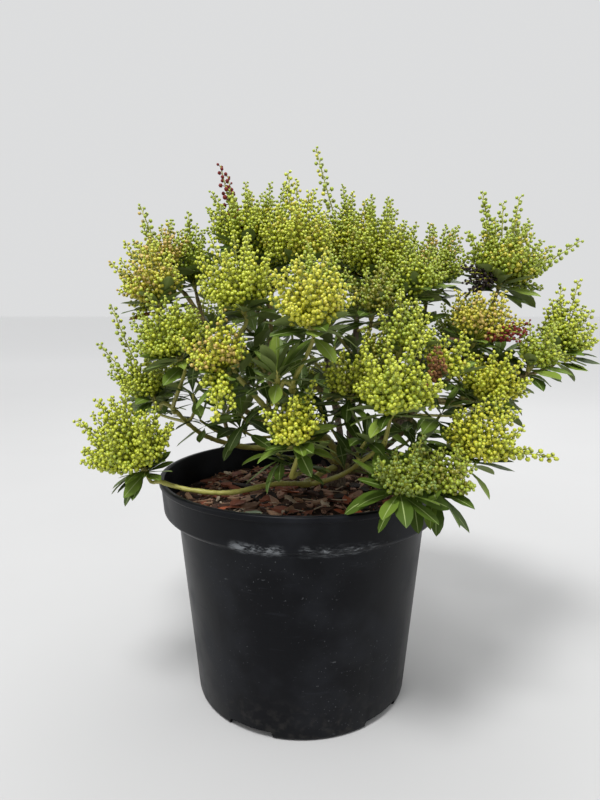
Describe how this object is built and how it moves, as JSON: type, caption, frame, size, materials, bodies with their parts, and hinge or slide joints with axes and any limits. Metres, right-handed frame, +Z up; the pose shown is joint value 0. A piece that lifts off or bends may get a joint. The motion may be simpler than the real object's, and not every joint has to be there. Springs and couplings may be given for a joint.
{
  "type": "potted pieris",
  "caption": "Low, wide evergreen pieris shrub with beaded sprays of green-yellow buds over leaf whorls, in a round black nursery pot.",
  "frame": {"origin": "centre of the pot's flat underside, on the ground", "axes": "+Z up along the pot's axis, -Y towards the side the picture shows, +X to its right"},
  "size_m": [0.4468, 0.3593, 0.504],
  "materials": {
    "pot": "black moulded plastic, slightly glossy, with chalky scuffs",
    "compost": "moist compost under reddish-brown bark flakes",
    "bark": "thin grey-brown bark, yellow-green on young shoots",
    "foliage": "waxy yellow-green buds and dark green leaves"
  },
  "bodies": {
    "root": {"pot": "pot", "compost": "compost", "trunk": "bark", "top_bough": "bark", "upper_left_bough": "bark", "right_bough": "bark", "front_right_bough": "bark", "front_bough": "bark", "back_bough": "bark", "low_front_bough": "bark", "low_left_bough": "bark", "lower_left_bough": "bark", "top_left_bough": "bark", "front_left_bough": "bark", "foot_front_bough": "bark", "middle_bough": "bark", "right_front_upper_bough": "bark", "low_right_bough": "bark", "upper_right_bough": "bark", "far_right_bough": "bark", "back_right_bough": "bark", "back_low_bough": "bark", "back_left_bough": "bark", "back_low_left_bough": "bark", "top_foliage": "foliage", "upper_left_foliage": "foliage", "right_foliage": "foliage", "front_right_foliage": "foliage", "front_foliage": "foliage", "back_foliage": "foliage", "low_front_foliage": "foliage", "low_left_foliage": "foliage", "lower_left_foliage": "foliage", "top_left_foliage": "foliage", "front_left_foliage": "foliage", "foot_front_foliage": "foliage", "middle_foliage": "foliage", "right_front_upper_foliage": "foliage", "low_right_foliage": "foliage", "upper_right_foliage": "foliage", "far_right_foliage": "foliage", "back_right_foliage": "foliage", "back_low_foliage": "foliage", "back_left_foliage": "foliage", "back_low_left_foliage": "foliage"}
  },
  "joints": []
}
